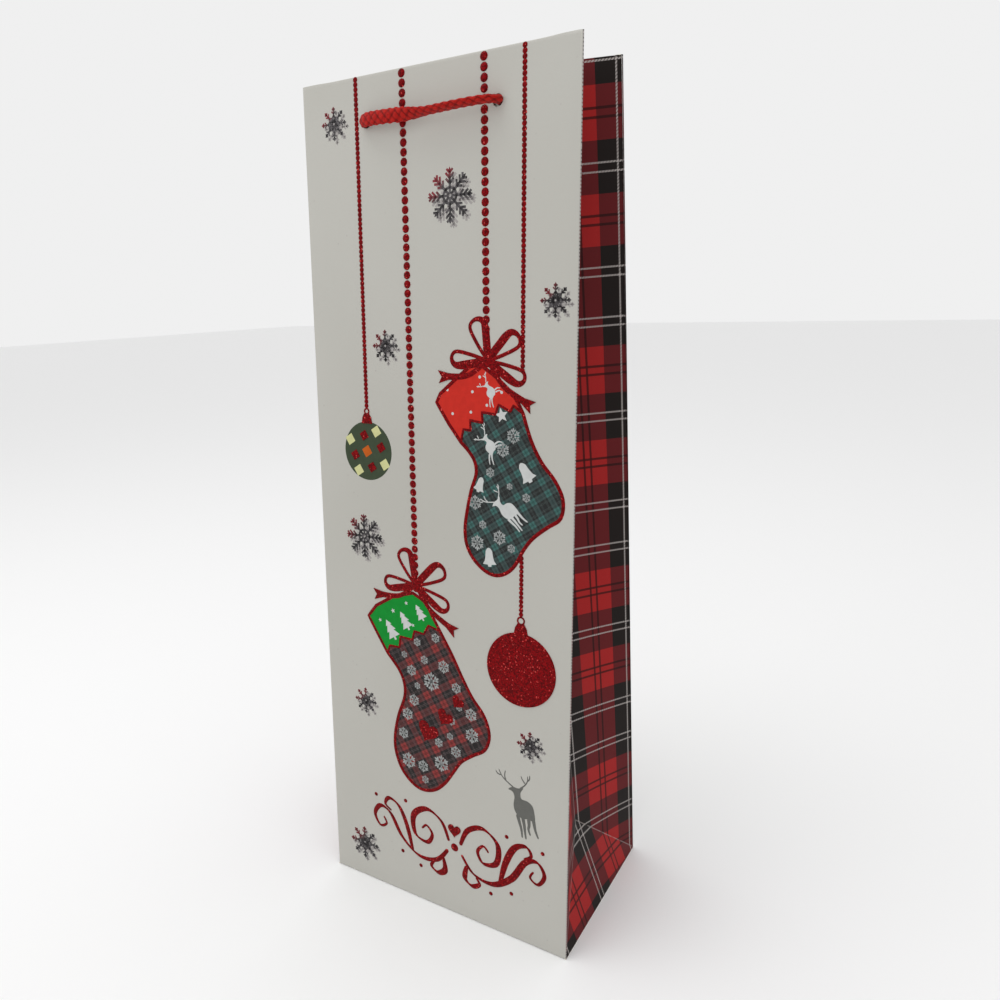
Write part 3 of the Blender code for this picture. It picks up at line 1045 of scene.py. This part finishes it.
# Lines down each leg: standing, and leaping
DEER_LEGS = (
    ((-1.8, -0.6), (-0.6, -4.6), (0.2, -7.2), (0.7, -11.2)),
    ((0.8, -1.4), (1.6, -5.0), (1.9, -7.6), (2.5, -11.4)),
    ((3.6, -1.0), (3.9, -4.2), (3.6, -6.2), (4.6, -9.0)),
    ((5.8, -0.6), (6.4, -3.6), (7.0, -6.0), (8.4, -9.2)),
)
DEER_LEAP = (
    ((-1.8, 0.4), (-6.0, -1.6), (-7.6, -5.4)),
    ((-0.6, -1.0), (-4.6, -4.2), (-5.0, -8.0)),
    ((5.0, -0.6), (9.0, -3.2), (12.6, -7.2)),
    ((6.0, 0.8), (10.4, -1.0), (14.4, -4.0)),
)


def draw_deer(art, x, s, size, turn, mirror, height, legs):
    """A small deer with antlers, standing or leaping."""
    art.patch(smooth_path(placed(DEER_BODY, x, s, size, turn, mirror), 0.6, True), height)
    for lines, least, base, taper in ((legs, 0.5, 2.1, 1.25), (DEER_ANTLERS, 0.48, 0.80, 0.30)):
        for line in lines:
            path = smooth_path(placed(line, x, s, size, turn, mirror), 0.7)
            art.ridge(path, lambda share, run: max(least, size * (base - taper * share)), height)


# The right halves of a fir tree and of a bell, from the top down
FIR = ((0.0, 5.0), (1.7, 2.4), (0.9, 2.4), (2.6, -0.4), (1.4, -0.4), (3.3, -3.4), (0.5, -3.4), (0.5, -4.8))
BELL = ((0.0, 5.0), (1.0, 4.6), (2.0, 3.2), (2.3, 0.4), (2.9, -2.2), (4.2, -4.0), (1.2, -4.3), (0.9, -5.4))


def draw_mirrored(art, half, x, s, size, turn):
    """A patch with two like halves, from the outline of one of them."""
    outline = half + tuple((-across, up) for across, up in reversed(half[1:]))
    art.patch(placed(outline, x, s, size, turn), PRINT_OVER)


def draw_star(art, x, s, radius, turn):
    tips = [(radius if k % 2 == 0 else radius * 0.45, math.pi * k / 5) for k in range(10)]
    art.patch(placed([(r * math.sin(a), r * math.cos(a)) for r, a in tips], x, s, 1.0, turn), PRINT_OVER)


def heart(x, s, size, turn):
    """A heart outline from its usual formula, about twice size across."""
    points = []
    for k in range(28):
        t = 2 * math.pi * k / 28
        up = 13 * math.cos(t) - 5 * math.cos(2 * t) - 2 * math.cos(3 * t) - math.cos(4 * t)
        points.append((math.sin(t) ** 3, up / 16))
    return placed(points, x, s, size, turn)


PRINT_UNDER, PRINT_BODY, PRINT_CUFF, PRINT_OVER = 0.02, 0.035, 0.05, 0.075  # height of each layer
OUTLINE, OUTLINE_RISE = 1.6, 0.28
BEAD_FLATNESS = 0.55 / 1.6  # height of a bead against its radius
CHAIN_TOP = 359.6
LARGE_BEADS, SMALL_BEADS = 3.53, 1.80  # distance from bead to bead
# Each chain's place at its top and foot, the heights of its foot and top, its pitch and its beads' radius
CHAINS = (
    (-35.0, -35.0, 230.5, CHAIN_TOP, SMALL_BEADS, 1.12), (-12.4, -11.2, 152.0, CHAIN_TOP, LARGE_BEADS, 1.66),
    (24.3, 24.9, 252.0, CHAIN_TOP, LARGE_BEADS, 1.66), (41.0, 40.7, 246.0, CHAIN_TOP, SMALL_BEADS, 1.05),
    (40.6, 40.5, 150.5, 175.0, SMALL_BEADS, 1.05),
)


def draw_chains(art):
    """Hanging chains of round beads."""
    for x_top, x_foot, low, high, pitch, radius in CHAINS:
        count = round((high - low) / pitch)
        for index in range(count):
            x = x_top + (x_foot - x_top) * index / count
            art.dome(x, high - pitch * (index + 0.5), radius, BEAD_FLATNESS * radius)


def draw_snowflakes(foil, shadow):
    """The foil snowflakes, each with its pale shadow a little to the lower right."""
    for x, s, radius, large in (
        (-46.8, 344.0, 6.2, False), (9.0, 312.0, 10.3, True), (-24.0, 256.0, 6.3, False),
        (54.0, 272.5, 6.0, False), (-38.8, 173.0, 10.2, True), (-41.5, 93.7, 6.1, False),
        (45.0, 94.5, 6.0, False), (-45.5, 18.0, 8.2, False),
    ):
        slip = 0.22 if radius < 7 else 0.15
        draw_snowflake(shadow, x + slip * radius, s - slip * 1.15 * radius, radius, PRINT_UNDER, large)
        draw_snowflake(foil, x, s, radius, PRINT_BODY, large)


def draw_cap(glitter, x, s, width, height, ring):
    """A bauble's cap, with the ring that it hangs from."""
    half = width / 2
    right = [(half * 0.45, height), (half * 0.8, height * 0.6), (half, -0.5)]
    glitter.patch(placed([(-across, up) for across, up in reversed(right)] + right, x, s), 0.30)
    glitter.ridge(circle(x, s + height + ring * 0.8, ring, 24), 0.75, OUTLINE_RISE, closed=True)


def draw_check_bauble(glitter, olive, cream, orange):
    """The flat olive bauble with its chequered squares."""
    x, s, radius = -35.0, 211.4, 12.7
    olive.patch(circle(x, s, radius, 64), PRINT_BODY)
    for look, size, height, places in (
        (cream, 3.9, PRINT_CUFF, ((-9.6, 4.6), (4.8, 8.7), (8.9, -5.3), (-5.4, -8.7))),
        (glitter, 3.5, 0.20, ((-1.8, 6.7), (7.2, 2.0), (-7.0, -2.1), (2.0, -6.9))),
        (orange, 4.0, PRINT_CUFF, ((-0.5, -0.1),)),
    ):
        for across, up in places:
            corners = ((-0.5, -0.5), (0.5, -0.5), (0.5, 0.5), (-0.5, 0.5))
            look.patch(placed(corners, x + across, s + up, size, 32.0), height)
    draw_cap(glitter, x, s + radius - 0.3, 5.6, 3.8, 1.15)


def draw_glitter_bauble(glitter):
    x, s, radius = 40.5, 126.9, 15.3
    glitter.patch(circle(x, s, radius, 80), 0.42)
    glitter.ridge(circle(x, s, radius, 80), 1.3, 0.50, closed=True)
    draw_cap(glitter, x, s + radius - 0.2, 6.6, 4.8, 1.5)


SWALLOW_TAIL = ((-1.6, -1.3), (3.4, -2.5), (1.7, 0.1), (3.2, 2.6), (-1.6, 1.3))


def draw_bow(glitter, x, s, loops, tails):
    """A ribbon bow: each loop is one stroke out and back, thin on one side and broad on the other."""

    def loop_width(share, run):
        return 1.55 + 2.0 * smoothstep(share, 0.45, 0.72) * (1 - smoothstep(share, 0.88, 1.0))

    start = Vector((0, 0))
    for tip, belly in loops:
        out, away = Vector(tip), Vector((-tip[1], tip[0])).normalized() * belly
        route = [start, out * 0.45 + away * 0.55, out * 0.88 + away * 0.8, out]
        route += [out * 0.86 - away * 0.75, out * 0.42 - away * 0.45, start]
        glitter.ridge(smooth_path(placed(route, x, s), 0.6), loop_width, 0.30)
    for tip, sway in tails:
        out, away = Vector(tip), Vector((-tip[1], tip[0])).normalized() * sway
        path = smooth_path(placed([start, out * 0.5 + away, out], x, s), 0.6)
        glitter.ridge(path, lambda share, run: 1.7 + 1.2 * share, 0.30)
        last = path[-1] - path[-3]
        turn = math.degrees(math.atan2(last.y, last.x))
        glitter.patch(placed(SWALLOW_TAIL, path[-1].x, path[-1].y, 1.0, turn), 0.28)
    glitter.dome(x, s, 2.6, 0.45, 16)


# Each stocking's outline: its leg and foot, and its cuff's lower side, end and back, with the
# zigzag where the cuff meets the leg
UPPER_SIDE = (
    (41.0, 231.0), (44.5, 221.0), (49.0, 213.0), (55.0, 206.0), (58.3, 199.0), (57.3, 192.0), (52.0, 188.0),
    (46.0, 183.2), (41.8, 178.0), (37.5, 170.5), (33.0, 166.5), (28.0, 165.2), (23.0, 166.8), (18.0, 171.0),
    (15.0, 176.5), (14.3, 183.0), (15.4, 190.5), (17.4, 199.0), (19.8, 206.0), (19.2, 211.0), (16.4, 215.0),
    (12.8, 218.3),
)
UPPER_CUFF = ((12.8, 218.3), (7.0, 225.5), (1.3, 233.8), (3.2, 237.3), (11.0, 243.6), (20.0, 250.3))
UPPER_CUFF_BACK = ((20.0, 250.3), (29.0, 244.6), (37.0, 237.5), (41.0, 231.0))
UPPER_ZIGZAG = (
    (12.8, 218.3), (14.0, 223.6), (17.4, 223.3), (17.2, 227.4), (23.0, 226.6), (22.6, 230.8), (28.8, 230.2),
    (30.2, 234.0), (35.5, 231.6), (36.8, 234.0), (41.0, 231.0),
)
LOWER_SIDE = (
    (1.0, 136.0), (7.0, 126.5), (12.2, 117.0), (17.0, 109.2), (22.3, 103.0), (25.0, 97.0), (25.3, 91.5),
    (22.8, 86.0), (17.0, 82.0), (11.0, 77.2), (6.8, 71.0), (2.2, 64.3), (-3.2, 59.4), (-10.0, 57.4),
    (-16.2, 59.4), (-21.8, 65.0), (-24.8, 73.0), (-24.9, 81.0), (-22.6, 91.0), (-19.0, 100.6),
    (-18.8, 107.0), (-21.4, 113.2), (-27.8, 120.2),
)
LOWER_CUFF = ((-27.8, 120.2), (-33.6, 129.0), (-38.0, 136.0), (-33.4, 141.6), (-23.5, 147.6), (-13.0, 150.8))
LOWER_CUFF_BACK = ((-13.0, 150.8), (-6.6, 147.6), (-2.6, 141.6), (1.0, 136.0))
LOWER_ZIGZAG = (
    (-27.8, 120.2), (-26.4, 124.0), (-21.0, 124.2), (-20.4, 129.4), (-13.8, 129.2), (-12.6, 133.4),
    (-7.6, 133.0), (-5.0, 137.4), (1.0, 136.0),
)


def draw_stocking(glitter, body, cuff, side, cuff_edge, cuff_back, zigzag):
    """A stocking's printed leg and cuff, with the glitter lines round it and under the cuff."""
    leg = smooth_path(side, 1.2)
    edge = straight_path(cuff_edge, 2.0)
    back = smooth_path(cuff_back, 2.0)
    body.patch(leg + straight_path(zigzag, 3.0)[1:-1], PRINT_BODY)
    cuff.patch(edge[:-1] + back[:-1] + straight_path(zigzag[::-1], 3.0)[:-1], PRINT_CUFF)
    glitter.ridge(leg[:-1] + edge[:-1] + back[:-1], OUTLINE, OUTLINE_RISE, closed=True)
    glitter.ridge(straight_path(zigzag, 0.7), 1.1, OUTLINE_RISE * 0.9)


def draw_upper_stocking(glitter, body, cuff, white, soft):
    """The green tartan stocking under its red cuff."""
    draw_stocking(glitter, body, cuff, UPPER_SIDE, UPPER_CUFF, UPPER_CUFF_BACK, UPPER_ZIGZAG)
    draw_deer(white, 28.0, 217.4, 0.50, 62.0, -1, PRINT_OVER, DEER_LEAP)
    draw_deer(white, 35.0, 190.6, 0.70, 36.0, 1, PRINT_OVER, DEER_LEGS)
    draw_deer(white, 28.0, 238.6, 0.42, 62.0, -1, PRINT_OVER, DEER_LEAP)
    draw_star(white, 31.6, 230.0, 3.0, 12.0)
    for x, s, radius in (
        (36.8, 222.3, 3.2), (32.2, 216.6, 3.1), (19.3, 194.4, 3.2), (30.6, 181.2, 3.2), (20.2, 177.8, 3.4),
        (26.4, 207.2, 2.2), (42.6, 198.6, 2.0), (22.8, 185.6, 2.0), (36.0, 177.4, 2.0), (35.2, 202.4, 1.5),
    ):
        draw_white_flake(soft, x, s, radius)
    for x, s, size, turn in (
        (42.2, 208.6, 0.82, 34.0), (21.6, 202.0, 0.62, -18.0), (25.8, 172.6, 0.76, 4.0),
    ):
        draw_mirrored(white, BELL, x, s, size, turn)
    for x, s in (
        (9.0, 229.6), (6.6, 239.0), (17.6, 230.6), (21.8, 244.4), (18.4, 238.6), (25.0, 233.6),
        (31.6, 238.8),
    ):
        white.patch(circle(x, s, 0.62, 10), PRINT_OVER)
    draw_bow(
        glitter, 25.4, 250.6,
        loops=(((-5.4, 15.6), 4.2), ((13.4, 9.4), -4.0), ((-16.6, 0.8), -3.4), ((16.0, -7.0), 3.4)),
        tails=(((-19.6, -6.4), 2.6), ((17.0, -15.6), -2.2)),
    )


def draw_lower_stocking(glitter, body, cuff, white, soft):
    """The red tartan stocking under its green cuff."""
    draw_stocking(glitter, body, cuff, LOWER_SIDE, LOWER_CUFF, LOWER_CUFF_BACK, LOWER_ZIGZAG)
    for x, s, radius in (
        (-14.6, 114.6, 2.8), (-4.0, 111.6, 4.6), (-11.6, 108.0, 1.8), (9.0, 111.6, 2.7), (2.6, 120.0, 3.2),
        (-7.6, 121.0, 2.2), (-11.2, 128.6, 2.1), (-1.4, 132.4, 2.4), (-13.6, 100.6, 3.0), (-17.4, 93.0, 3.2),
        (16.4, 101.0, 3.2), (6.2, 95.6, 2.3), (16.8, 91.4, 3.7), (5.4, 88.0, 1.9), (-0.6, 83.4, 2.4),
        (-20.0, 83.0, 3.0), (8.4, 81.4, 3.0), (0.6, 73.6, 4.2), (-17.4, 70.0, 4.1), (-9.4, 69.4, 3.1),
        (-8.4, 63.0, 2.1), (-18.4, 121.4, 1.8), (10.4, 102.8, 1.8),
    ):
        draw_white_flake(soft, x, s, radius)
    for x, s, size, turn in ((-6.4, 87.4, 5.4, -20.0), (2.8, 96.4, 4.2, -28.0), (9.6, 105.2, 3.2, -34.0)):
        glitter.patch(heart(x, s, size, turn), 0.22)
    for x, s, size in ((-25.4, 131.6, 1.02), (-17.6, 137.2, 0.92), (-9.4, 142.4, 0.80)):
        draw_mirrored(white, FIR, x, s, size, 32.0)
    for x, s, radius in ((-31.4, 135.2, 1.0), (-24.0, 140.8, 1.2), (-16.6, 145.6, 1.0), (-13.2, 136.0, 0.9)):
        draw_star(white, x, s, radius, 20.0)
    draw_bow(
        glitter, -11.4, 154.4,
        loops=(((-6.4, 15.2), 4.2), ((14.8, 9.6), -4.2), ((-16.4, -0.6), -3.4), ((16.6, -7.6), 3.6)),
        tails=(((-19.6, -7.0), 2.6), ((18.0, -16.0), -2.2)),
    )


SCROLLS = (
    (
        (3.0, 1.0), (7.0, 9.6), (15.0, 13.2), (22.4, 8.0), (21.8, -1.4), (15.2, -3.8), (12.2, 1.0),
        (15.2, 4.8), (18.0, 2.4),
    ),
    (
        (3.6, -3.6), (10.0, -11.0), (20.0, -12.4), (29.4, -6.0), (36.0, 4.2), (42.0, 6.4), (45.4, 1.2),
        (42.4, -4.0), (38.6, -2.0), (40.2, 1.4),
    ),
    ((23.4, -11.4), (26.6, 1.0), (31.0, 9.6), (36.6, 12.0), (39.0, 8.4), (35.4, 5.8)),
    ((6.4, -8.2), (5.4, -14.6), (9.2, -17.4), (13.0, -15.2), (11.2, -12.2)),
)
SCROLL_DOTS = ((44.4, 11.6), (29.4, -13.4), (19.0, -17.4), (27.0, 13.6))


def draw_scrolls(glitter):
    """A letterless scroll ornament in broad-nib strokes, the same on both sides of its middle."""
    x, s = 7.0, 35.0

    def nib(share, run):
        swell = math.sin(math.pi * min(1.0, 0.12 + 0.88 * share))
        return 0.95 + 2.4 * abs(run.x * 0.5 + run.y * 0.87) * swell

    for mirror in (-1, 1):
        for line in SCROLLS:
            glitter.ridge(smooth_path(placed(line, x, s, mirror=mirror), 0.6), nib, 0.26)
        for px, py in SCROLL_DOTS:
            glitter.dome(x + mirror * px, s + py, 1.0, 0.28, 10)
    glitter.patch(heart(x, s + 7.4, 3.4, 0.0), 0.26)
    glitter.dome(x, s - 1.2, 2.0, 0.34, 16)


def make_art(end):
    """All the print on one panel, one piece for each material."""
    reliefs = {name: Relief(end, name, look) for name, look in ART_LOOKS.items()}
    glitter, white, soft = (reliefs[name] for name in ("red_glitter", "white_print", "soft_white_print"))
    draw_chains(glitter)
    draw_snowflakes(reliefs["dark_foil"], reliefs["pale_shadow"])
    draw_check_bauble(glitter, reliefs["olive_print"], reliefs["cream_print"], reliefs["orange_print"])
    draw_glitter_bauble(glitter)
    draw_upper_stocking(glitter, reliefs["green_tartan_print"], reliefs["red_print"], white, soft)
    draw_lower_stocking(glitter, reliefs["red_tartan_print"], reliefs["green_print"], white, soft)
    draw_deer(reliefs["grey_print"], 41.0, 62.0, 1.0, 0.0, 1, PRINT_BODY, DEER_LEGS)
    draw_scrolls(glitter)
    for relief in reliefs.values():
        relief.finish()


CAMERA_TARGET = Vector((0.0379, -HALF_DEPTH, 0.1999))
CAMERA_AZIMUTH, CAMERA_ELEVATION, CAMERA_ROLL = 0.5328, 0.2579, -0.0324
CAMERA_DISTANCE = 0.2956
CAMERA_LENS, SENSOR_WIDTH = 28.28, 36.0  # mm
FLOOR_REACH = 6.0
FLOOR_LEVEL = -0.0002  # just under the bag, so that the two don't flicker
LAMP_AIM = Vector((0, 0, 0.2))
# Each lamp's name, place, size and power
LAMPS = (("overhead", (-0.15, -0.20, 1.15), 0.6, 2.7), ("front_left", (-0.9, -0.9, 0.75), 0.8, 1.6))


def make_camera():
    """The camera, placed round its target by azimuth and elevation and rolled about its own axis."""
    level, raised = math.cos(CAMERA_ELEVATION), math.sin(CAMERA_ELEVATION)
    back = Vector((math.sin(CAMERA_AZIMUTH) * level, -math.cos(CAMERA_AZIMUTH) * level, raised))
    right = (-back).cross(Vector((0, 0, 1))).normalized()
    up = right.cross(-back)
    cos, sin = math.cos(CAMERA_ROLL), math.sin(CAMERA_ROLL)
    turned = Matrix((right * cos + up * sin, up * cos - right * sin, back)).transposed()
    camera = add_to_scene("camera", bpy.data.cameras.new("camera"))
    camera.data.lens = CAMERA_LENS
    camera.data.sensor_width = SENSOR_WIDTH
    camera.data.clip_start = 0.01
    camera.matrix_world = Matrix.Translation(CAMERA_TARGET + back * CAMERA_DISTANCE) @ turned.to_4x4()
    bpy.context.scene.camera = camera


def make_stage():
    """A plain pale floor, and soft light from above and all round."""
    mesh = bpy.data.meshes.new("floor")
    corners = [(x * FLOOR_REACH, y * FLOOR_REACH, 0) for x, y in ((-1, -1), (1, -1), (1, 1), (-1, 1))]
    mesh.from_pydata(corners, [], [(0, 1, 2, 3)])
    made, _, shader = new_material("pale_floor", 0.9)
    paint(shader, (0.90, 0.90, 0.90, 1))
    mesh.materials.append(made)
    floor = add_to_scene("floor", mesh)
    floor.location.z = FLOOR_LEVEL

    world = bpy.data.worlds.new("studio")
    bpy.context.scene.world = world
    world.use_nodes = True
    background = world.node_tree.nodes["Background"]
    background.inputs["Color"].default_value = (1, 1, 1, 1)
    background.inputs["Strength"].default_value = 0.87
    bpy.context.scene.view_settings.view_transform = "Standard"

    for name, place, size, power in LAMPS:
        light = bpy.data.lights.new(name, "AREA")
        light.size = size
        light.energy = power
        lamp = add_to_scene(name, light)
        lamp.location = place
        lamp.rotation_mode = "QUATERNION"
        lamp.rotation_quaternion = (LAMP_AIM - Vector(place)).to_track_quat("-Z", "Y")


def main():
    make_camera()
    make_stage()
    for end in (FRONT, BACK):
        make_cords(end)
        make_panel(end)
        make_art(end)
    for side in (LEFT, RIGHT):
        make_gusset_triangle(side)
        for end in (FRONT, BACK):
            make_gusset_half(side, end)
    for name, node in frame["nodes"].items():
        look = GREY_BOARD if name.endswith("_board") else WHITE_CARD
        for held in node.material_slots:
            held.material = look


main()
